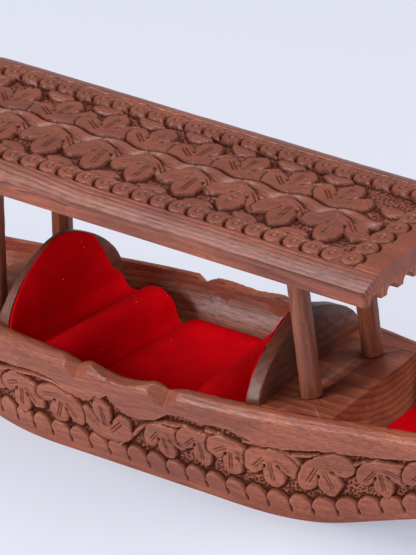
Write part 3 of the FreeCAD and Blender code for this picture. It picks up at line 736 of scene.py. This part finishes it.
def make_roof_top(relief, hollows, half, name):
    """One end of the carved top, from the fluted part's height up, as a closed solid."""
    low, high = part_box("canopy")
    middle, half_length, half_width = (low.x + high.x) / 2 / MM, (high.x - low.x) / 2 / MM, high.y / MM
    fine_u, fine_v = half_length - ROOF_MARGIN_END + 1, half_width - ROOF_MARGIN_EAVE + 1
    if half < 0:
        xs = spaced(-half_length, -fine_u, 0.0, 0.0, 0.9, 0.3)
    else:
        xs = spaced(0.0, 0.0, fine_u, half_length, 0.9, 0.3)
    xs = np.unique(np.round(xs, 4))
    ys = spaced(-half_width, -fine_v, fine_v, half_width, 0.8, 0.3)
    # the camber is read off the plain border, just inside the eaves
    tree, plain = cad_tree("canopy"), middle + half_length - ROOF_MARGIN_END / 2
    camber = np.array([first_hit(tree, (plain, y * 0.9995, 150), (0, 0, -1)).z for y in ys])
    u, v = np.meshgrid(xs, ys, indexing="ij")
    wave = 0.12 * drift(u + 300, v + 80, 21.0, 8.0, 21) + 0.06 * drift(u + 300, v + 80, 5.0, 3.0, 22)
    z = camber[None] + relief.at(u, v) + wave - 0.18
    line, eave = border_lines(u, v, half_length, half_width)
    z = z - line - eave * np.where(v > 0, 1.0, 0.5)
    # dark polish and painted shade in the cuts and in the border lines
    dark = np.clip(relief.at(u, v, hollows) + line * 1.5 + eave * 0.8, 0, 1)
    u, v = round_corners(u, v, half_length, half_width)
    top = np.stack([u + middle, v, z], -1).reshape(-1, 3)
    index = np.arange(len(top)).reshape(u.shape)
    faces = np.stack([index[:-1, :-1], index[1:, :-1], index[1:, 1:], index[:-1, 1:]], -1)
    faces = faces.reshape(-1, 4).tolist()
    # the edges go straight down to a flat base
    ring = np.concatenate([index[:, 0], index[-1, 1:], index[-2::-1, -1], index[0, -2:0:-1]])
    base = low.z / MM + SPLIT
    points, above, count = [top], ring, len(top)
    for k in range(1, SKIRT_ROWS + 1):
        share = k / SKIRT_ROWS
        row = top[ring].copy()
        row[:, 2] = row[:, 2] * (1 - share) + base * share
        points.append(row)
        below = np.arange(count, count + len(ring))
        faces += np.stack([above, below, np.roll(below, -1), np.roll(above, -1)], -1).tolist()
        above, count = below, count + len(ring)
    faces.append(above[::-1].tolist())
    dark = np.concatenate([dark.reshape(-1), np.zeros(count - len(top))])
    return mesh_piece(name, np.concatenate(points) * MM, faces, dark, sharp=40)


def make_roof_under():
    """The roof's lower part with its end flutes and mortises."""
    piece = copy_of("canopy", "roof_under")
    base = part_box("canopy")[0].z / MM + SPLIT
    apply_boolean(piece, block((-300, -100, base), (300, 100, base + 60)), "DIFFERENCE")
    smooth(piece, 30)
    return piece


# ---- hand-worn pieces and felt ----
WORN_VOXEL, WORN_RUBS, WEAR = 0.4, 3, 0.14
FELT_VOXEL, FELT_RUBS = 0.42, 9


def remake(piece, voxel, rubs):
    """Remeshes a piece finely and rubs its edges soft."""
    only(piece)
    change = piece.modifiers.new("fine", "REMESH")
    change.mode = "VOXEL"
    change.voxel_size = voxel * MM
    bpy.ops.object.modifier_apply(modifier=change.name)
    change = piece.modifiers.new("rub", "SMOOTH")
    change.factor = 0.5
    change.iterations = rubs
    bpy.ops.object.modifier_apply(modifier=change.name)
    bpy.ops.object.shade_smooth()
    piece.select_set(False)


def points_of(piece, what="co"):
    """A piece's points in metres, or its normals."""
    values = np.zeros(len(piece.data.vertices) * 3)
    piece.data.vertices.foreach_get(what, values)
    return values.reshape(-1, 3)


def move_points(piece, co):
    """Puts a piece's points at new places in millimetres."""
    piece.data.vertices.foreach_set("co", (co * MM).astype(np.float32).ravel())
    piece.data.update()


def worn_copy(node, name, seed):
    """A CAD piece remade finely, its edges rubbed soft and its faces a little uneven, as by hand."""
    piece = copy_of(node, name)
    remake(piece, WORN_VOXEL, WORN_RUBS)
    co, normal = points_of(piece) / MM, points_of(piece, "normal")
    a, b = co[:, 0] + co[:, 1] * 0.7 + 500, co[:, 2] + co[:, 1] * 0.4 + 300
    inwards = drift(a, b, 5.0, 7.0, seed) * 0.6 + drift(a, b, 2.1, 2.6, seed + 1) * 0.4 - 1.0
    move_points(piece, co + normal * (inwards * WEAR)[:, None])
    return piece


def thin_crown(piece, foot=36.0, crown=60.0, share=0.6):
    """Planes the back of the stern board away towards its crown."""
    co = points_of(piece) / MM
    # the board stands a little askew, so a straight line is laid along its front face
    bins = np.round(co[:, 1]).astype(int) + 40
    front = np.full(81, -1e3)
    np.maximum.at(front, bins, co[:, 0])
    known = np.flatnonzero(front > -999)
    slope, start = np.polyfit(known - 40, front[known], 1)
    face = start + slope * co[:, 1]
    rise = np.clip((co[:, 2] - foot) / (crown - foot), 0, 1) ** 0.8
    co[:, 0] += (face - 0.3 - co[:, 0]) * share * rise * (face - co[:, 0] > 0.8)
    move_points(piece, co)


def felt_sheet(node, name, cutter, seed):
    """A felt lining: the CAD sheet remade finely, with soft cut edges and a slightly uneven lie."""
    piece = copy_of(node, name)
    if cutter is not None:
        apply_boolean(piece, cutter, "DIFFERENCE")
    remake(piece, FELT_VOXEL, FELT_RUBS)
    co = points_of(piece) / MM
    co[:, 2] += drift(co[:, 0] + 500, co[:, 1] + 500, 9.0, 9.0, seed) * 0.16
    co[:, 0] += drift(co[:, 1] + 500, co[:, 2] + 500, 8.0, 8.0, seed + 1) * 0.12
    if cutter is not None:
        co = drawn_out(co)
    move_points(piece, co)
    return piece


def drawn_out(co, sideways=1.8, upwards=0.9, forwards=0.9):
    """The stern felt's edges, drawn out level with its board's arch and on to the floor's felt."""
    moved = co.copy()
    moved[:, 0] += forwards * smooth_step((co[:, 0] + 34) / 2) * smooth_step((26 - co[:, 2]) / 3)
    starboard = smooth_step((-co[:, 1] - 1) / 8)
    moved[:, 1] -= sideways * smooth_step((co[:, 2] - 28) / 12) * starboard
    moved[:, 2] += upwards * smooth_step((co[:, 2] - 48) / 10)
    return moved


def shears():
    """Takes the port shoulder off the stern seat's felt, along the line where it was cut short."""
    behind, before = -72.0, -51.0
    outline = [(8.6, 63.0), (8.6, 59.2), (14.6, 53.4), (18.6, 46.0), (21.6, 38.6), (26.2, 33.8),
               (40.0, 32.0), (40.0, 63.0)]
    return block_between("shears", [(behind, *p) for p in outline], [(before, *p) for p in outline])


# ---- materials ----
class Nodes:
    """Short calls for a material's node tree."""

    def __init__(self, name):
        self.material = bpy.data.materials.new(name)
        self.material.use_nodes = True
        self.tree = self.material.node_tree
        self.shader = self.tree.nodes["Principled BSDF"]

    def new(self, kind, **values):
        """Adds a node of a kind, with its settings."""
        node = self.tree.nodes.new(kind)
        for key, value in values.items():
            setattr(node, key, value)
        return node

    def link(self, a, b):
        """Leads an output to an input."""
        self.tree.links.new(a, b)

    def set(self, node, **values):
        """Sets a node's inputs, each named with _ for a space."""
        for key, value in values.items():
            node.inputs[key.replace("_", " ")].default_value = value

    def noise(self, vector, scale, detail, rough):
        """Noise over coordinates in metres, with its scale for each axis."""
        mapping = self.new("ShaderNodeMapping")
        self.set(mapping, Scale=scale)
        self.link(vector, mapping.inputs["Vector"])
        node = self.new("ShaderNodeTexNoise")
        self.set(node, Scale=1.0, Detail=detail, Roughness=rough)
        self.link(mapping.outputs["Vector"], node.inputs["Vector"])
        return node.outputs["Fac"]

    def bump(self, height, strength, distance=0.0002):
        """Gives the surface a relief of this height, at most distance metres."""
        node = self.new("ShaderNodeBump")
        self.set(node, Strength=strength, Distance=distance)
        self.link(height, node.inputs["Height"])
        self.link(node.outputs[0], self.shader.inputs["Normal"])

    def feed(self, socket, value):
        """Gives an input a number, a colour or another node's result."""
        if isinstance(value, (int, float)):
            socket.default_value = value
        elif isinstance(value, tuple):
            socket.default_value = (*value, 1.0)
        else:
            self.link(value, socket)

    def math(self, operation, *values, clamp=False):
        """Result of an operation on numbers or other nodes' results."""
        node = self.new("ShaderNodeMath", operation=operation, use_clamp=clamp)
        for socket, value in zip(node.inputs, values):
            self.feed(socket, value)
        return node.outputs[0]

    def times(self, a, b, clamp=False):
        """Product of two numbers or results."""
        return self.math("MULTIPLY", a, b, clamp=clamp)

    def plus(self, a, b, clamp=False):
        """Sum of two numbers or results."""
        return self.math("ADD", a, b, clamp=clamp)

    def ramp(self, value, stops):
        """Colours, or shares of one number, at stops of a value."""
        node = self.new("ShaderNodeValToRGB")
        ramp = node.color_ramp
        while len(ramp.elements) < len(stops):
            ramp.elements.new(0.5)
        for element, (position, colour) in zip(ramp.elements, stops):
            element.position = position
            element.color = (*colour, 1.0) if len(colour) == 3 else (colour[0],) * 3 + (1.0,)
        self.link(value, node.inputs["Fac"])
        return node.outputs["Color"]

    def mix(self, share, a, b):
        """A share of colour b over colour a."""
        node = self.new("ShaderNodeMix", data_type="RGBA")
        for socket, value in ((0, share), (6, a), (7, b)):
            self.feed(node.inputs[socket], value)
        return node.outputs[2]


WALNUT_DARK = (0.082, 0.016, 0.008)
WALNUT_MIDDLE = (0.222, 0.048, 0.021)
WALNUT_LIGHT = (0.360, 0.096, 0.044)
WALNUT_DEEP = (0.034, 0.007, 0.004)  # polish gathered in the cuts, and painted shade there
WALNUT_WORN = (0.480, 0.170, 0.095)  # rubbed edges
WALNUT_SHINE = 0.42
ACROSS = {"X": "YZ", "Y": "XZ", "Z": "XY"}


def dimmed(colour, share):
    """A colour at a share of its strength."""
    return tuple(c * share for c in colour)


def growth_rings(n, along, across, sway, log):
    """Light to dark over each ring round a log's heart, which leans off the grain's axis."""
    square = None
    for way, place, tilt in zip(across, log["heart"], log["lean"]):
        off = n.math("SUBTRACT", way, n.plus(n.times(along, tilt), place))
        part = n.times(off, off)
        square = part if square is None else n.plus(square, part)
    rings = n.times(n.math("SQRT", square), log["rings_per_metre"])
    rings = n.plus(rings, n.times(sway, log["bend"]))
    return n.ramp(n.math("FRACT", rings), [(0.0, (0.1,)), (0.5, (0.42,)), (0.85, (1.0,)), (1.0, (0.1,))])


def polish_shade_and_wear(n, colour):
    """Dark polish and painted shade with little shine in the cuts, and pale rubbed edges, by the carving's
    own attribute.
    """
    cut = n.new("ShaderNodeAttribute", attribute_name="hollow").outputs["Fac"]
    # painted shade: the cuts are darkened towards WALNUT_DEEP, partly as polish and partly as shade in
    # them
    colour = n.mix(n.times(cut, 0.88, clamp=True), colour, WALNUT_DEEP)
    colour = n.mix(n.times(cut, -0.30, clamp=True), colour, WALNUT_WORN)
    shine = n.math("SUBTRACT", 1.0, n.times(cut, 0.9, clamp=True))
    n.link(n.times(shine, WALNUT_SHINE), n.shader.inputs["Specular IOR Level"])
    n.link(n.times(shine, 0.16), n.shader.inputs["Coat Weight"])
    return colour


def walnut(name, grain="X", figure=1.0, carved=False, shade=1.0, eave=None, straight_from=None, **log):
    """Oiled walnut: rings round a log, fibres along the grain, open pores, dark polish and painted shade
    in the cuts, and with eave given, painted shade over the top inside the eaves.
    """
    log = {"heart": (0.012, 0.085), "lean": (0.012, 0.02), "rings_per_metre": 420.0, "bend": 4.0, **log}
    n = Nodes(name)
    source = n.new("ShaderNodeTexCoord").outputs["Object"]

    def grained(along, across, detail, rough):
        """Noise with one scale along the grain and another across it."""
        return n.noise(source, [along if way == grain else across for way in "XYZ"], detail, rough)

    axes = n.new("ShaderNodeSeparateXYZ")
    n.link(source, axes.inputs[0])
    axis = dict(zip("XYZ", axes.outputs))
    along = axis[grain] if straight_from is None else n.math("MINIMUM", axis[grain], straight_from)
    across = [axis[way] for way in ACROSS[grain]]
    ring = growth_rings(n, along, across, grained(7.0, 24.0, 2.0, 0.5), log)
    fibres = grained(75.0, 2300.0, 4.0, 0.62)
    blotch = grained(26.0, 95.0, 3.0, 0.6)
    if eave is not None:
        # the figure shows past this distance from the middle, and inside it the top is darkened with
        # painted shade
        out = n.times(n.math("ABSOLUTE", axis["Y"]), 1 / eave)
        out = n.ramp(out, [(0.90, (0.0,)), (1.0, (1.0,))])
        ring = n.times(ring, n.plus(n.times(out, 0.85), 0.15))
    tone = n.plus(n.times(ring, 0.26 * figure), n.times(fibres, 0.62))
    tone = n.plus(tone, n.times(blotch, 0.52))
    tones = (0.44, WALNUT_LIGHT), (0.64, WALNUT_MIDDLE), (0.94, WALNUT_DARK)
    colour = n.ramp(tone, [(stop, dimmed(wood, shade)) for stop, wood in tones])
    pore = n.ramp(grained(260.0, 3600.0, 2.0, 0.5), [(0.58, (0.0,)), (0.69, (1.0,))])
    colour = n.mix(n.times(pore, 0.6), colour, dimmed(WALNUT_DARK, 0.55))
    if eave is not None:
        # painted shade: the top inside the eaves is mixed towards WALNUT_DARK, so the eaves stay lighter
        colour = n.mix(n.times(n.math("SUBTRACT", 1.0, out), 0.55), colour, WALNUT_DARK)
    if carved:
        colour = polish_shade_and_wear(n, colour)
    n.link(colour, n.shader.inputs["Base Color"])
    n.link(n.plus(n.times(fibres, 0.3), 0.33), n.shader.inputs["Roughness"])
    n.set(n.shader, Specular_IOR_Level=WALNUT_SHINE, Coat_Weight=0.12, Coat_Roughness=0.24)
    n.bump(n.math("SUBTRACT", n.times(fibres, 0.6), n.times(pore, 0.8)), 0.55)
    return n.material


def red_felt():
    """Short-napped felt, deep red, with a little pale dust."""
    n = Nodes("red_felt")
    source = n.new("ShaderNodeTexCoord").outputs["Object"]
    nap = n.noise(source, (2600.0,) * 3, 3.0, 0.7)
    cloud = n.noise(source, (90.0,) * 3, 3.0, 0.6)
    tone = n.plus(n.times(nap, 0.55), n.times(cloud, 0.45))
    reds = [(0.30, (0.38, 0.0, 0.003)), (0.55, (0.56, 0.0, 0.004)), (0.75, (0.66, 0.002, 0.008))]
    dust = n.ramp(n.noise(source, (1300.0,) * 3, 0.0, 0.5), [(0.868, (0.0,)), (0.885, (1.0,))])
    colour = n.mix(n.times(dust, 0.6), n.ramp(tone, reds), (0.75, 0.55, 0.5))
    n.link(colour, n.shader.inputs["Base Color"])
    n.set(n.shader, Roughness=0.95, Specular_IOR_Level=0.03, Sheen_Weight=0.04, Sheen_Roughness=0.45,
          Sheen_Tint=(1.0, 0.12, 0.1, 1.0))
    n.bump(nap, 0.7)
    return n.material


def dress(piece, material):
    """Gives a piece its material, in its one slot."""
    piece.data.materials.clear()
    piece.data.materials.append(material)


# ---- floor and light ----
PAPER = (0.560, 0.580, 0.700)
GLOW = 0.70  # share of the floor that shows its plain colour
FAR, FAR_GLOW = 0.6, 0.82  # distance behind the boat at which the paper is dimmer, and how much
# soft boxes: name, place, width, power
LAMPS = [("key", (-1.15, -1.9, 1.05), 0.9, 40.0), ("overhead", (-0.8, -0.25, 1.75), 0.7, 19.0),
         ("bow", (1.1, 0.5, 1.5), 0.9, 29.0), ("front", (1.5, -1.6, 0.9), 0.7, 7.0)]


def paper():
    """Pale paper that takes the shadow, and glows evenly where it is seen or mirrored."""
    n = Nodes("paper")
    n.set(n.shader, Base_Color=(0.86, 0.88, 0.92, 1.0), Roughness=0.9, Specular_IOR_Level=0.0)
    place, depth = n.new("ShaderNodeSeparateXYZ"), n.new("ShaderNodeMapRange")
    n.link(n.new("ShaderNodeTexCoord").outputs["Object"], place.inputs[0])
    n.link(place.outputs["Y"], depth.inputs["Value"])
    n.set(depth, From_Max=FAR, To_Min=1.0, To_Max=FAR_GLOW)
    glow = n.new("ShaderNodeEmission")
    n.set(glow, Color=(*PAPER, 1.0))
    n.link(depth.outputs[0], glow.inputs["Strength"])
    path = n.new("ShaderNodeLightPath").outputs
    seen = n.plus(path["Is Camera Ray"], path["Is Glossy Ray"], clamp=True)
    seen = n.plus(seen, path["Is Transmission Ray"], clamp=True)
    mix = n.new("ShaderNodeMixShader")
    n.link(n.times(seen, GLOW), mix.inputs[0])
    n.link(n.shader.outputs[0], mix.inputs[1])
    n.link(glow.outputs[0], mix.inputs[2])
    n.link(mix.outputs[0], n.tree.nodes["Material Output"].inputs["Surface"])
    return n.material


def make_stage():
    """A pale paper floor, an even fill, a low soft key from the stern side and soft boxes above."""
    bpy.ops.object.select_all(action="DESELECT")
    bpy.ops.mesh.primitive_plane_add(size=6.0, location=(0, 0, 0))
    floor = bpy.context.object
    floor.name = "floor"
    floor.data.materials.append(paper())
    world = bpy.data.worlds.new("studio")
    world.use_nodes = True
    fill = world.node_tree.nodes["Background"].inputs
    fill["Color"].default_value = (0.93, 0.96, 1.0, 1.0)
    fill["Strength"].default_value = 0.30
    bpy.context.scene.world = world
    for name, place, size, power in LAMPS:
        soft_box(name, place, size, power)


def soft_box(name, place, size, power):
    """A square lamp that faces the boat."""
    data = bpy.data.lights.new(name, "AREA")
    data.shape = "SQUARE"
    data.size = size
    data.energy = power
    lamp = bpy.data.objects.new(name, data)
    bpy.context.scene.collection.objects.link(lamp)
    lamp.location = place
    lamp.rotation_euler = (Vector(place) - Vector((0, 0, 0.05))).to_track_quat("Z", "Y").to_euler()


# ---- assembly ----
make_camera()
make_stage()
carved_walnut = walnut("carved_walnut", carved=True, figure=0.35)
# the roof's top is darkened with painted shade inside the eaves
roof_walnut = walnut("roof_walnut", carved=True, figure=1.8, heart=(-0.0398, 0.0965), lean=(-0.12, 0.0),
                     rings_per_metre=640.0, bend=2.2, eave=0.0285, straight_from=-0.02)
plain_walnut = walnut("plain_walnut")
post_walnut = walnut("post_walnut", grain="Z", figure=0.5, shade=0.75)
# the boards are dimmed to half: painted shade of the roof over them
board_walnut = walnut("board_walnut", grain="Y", figure=0.6, shade=0.5)

shape = HullShape()
side_reach = float(np.abs(pattern_place(shape, np.array([-CARVED, CARVED]))[0]).max())
side_relief = carve_side(side_reach + 3, seed=11)
side_hollows = side_relief.hollows()
for side, way in ((-1, "starboard"), (1, "port")):
    for x0, x1, end in ((shape.x[0], MIDSHIPS, "stern"), (MIDSHIPS, shape.x[-1], "bow")):
        strake = make_side(shape, side, side_relief, side_hollows, x0, x1, "side_" + way + "_" + end)
        dress(strake, carved_walnut)
        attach(strake, "root")
        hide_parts("hull")
core = make_core(shape)
dress(core, plain_walnut)
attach(core, "root")
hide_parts("hull")

roof_low, roof_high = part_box("canopy")
roof_relief = carve_roof((roof_high.x - roof_low.x) / 2 / MM, roof_high.y / MM, seed=31)
roof_hollows = roof_relief.hollows()
for half, end in ((-1, "stern"), (1, "bow")):
    top = make_roof_top(roof_relief, roof_hollows, half, "roof_" + end)
    dress(top, roof_walnut)
    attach(top, "root")
    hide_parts("canopy")
under = make_roof_under()
dress(under, plain_walnut)
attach(under, "root")
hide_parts("canopy")

for node in sorted(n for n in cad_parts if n.startswith(("post_", "board_"))):
    piece = worn_copy(node, node + "_worn", seed=len(node))
    if node == "board_stern":
        thin_crown(piece)
    dress(piece, post_walnut if node.startswith("post_") else board_walnut)
    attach(piece, "root")
    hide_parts(node)
for node in ("seat_stern", "seat_bow"):
    dress(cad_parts[node], plain_walnut)

felt_material = red_felt()
# each cloth's flat size, its flat area, and what it lies on. The areas are the CAD felts' volumes over
# their thickness, and the seats' first numbers are estimates, 1 to 2.5 mm longer than the solids' runs
SHEETS = {
    "seat_felt_stern": ((0.0656, 0.055), 0.00300, ["seat_stern"]),
    "seat_felt_bow": ((0.0680, 0.061), 0.00355, ["seat_bow"]),
    "cabin_floor_felt": ((0.0448, 0.0609), 0.00243, ["hull_core"]),
    "well_felt_bow": ((0.0518, 0.0478), 0.00190, ["hull_core"]),
    "well_felt_stern": ((0.0446, 0.0428), 0.00149, ["hull_core"]),
}
for number, (node, (flat, area, under_it)) in enumerate(SHEETS.items()):
    cutter = shears() if node == "seat_felt_stern" else None
    sheet = felt_sheet(node, node + "_cloth", cutter, seed=50 + number)
    dress(sheet, felt_material)
    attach(sheet, "root")
    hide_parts(node)

bpy.context.scene.view_settings.view_transform = "Standard"
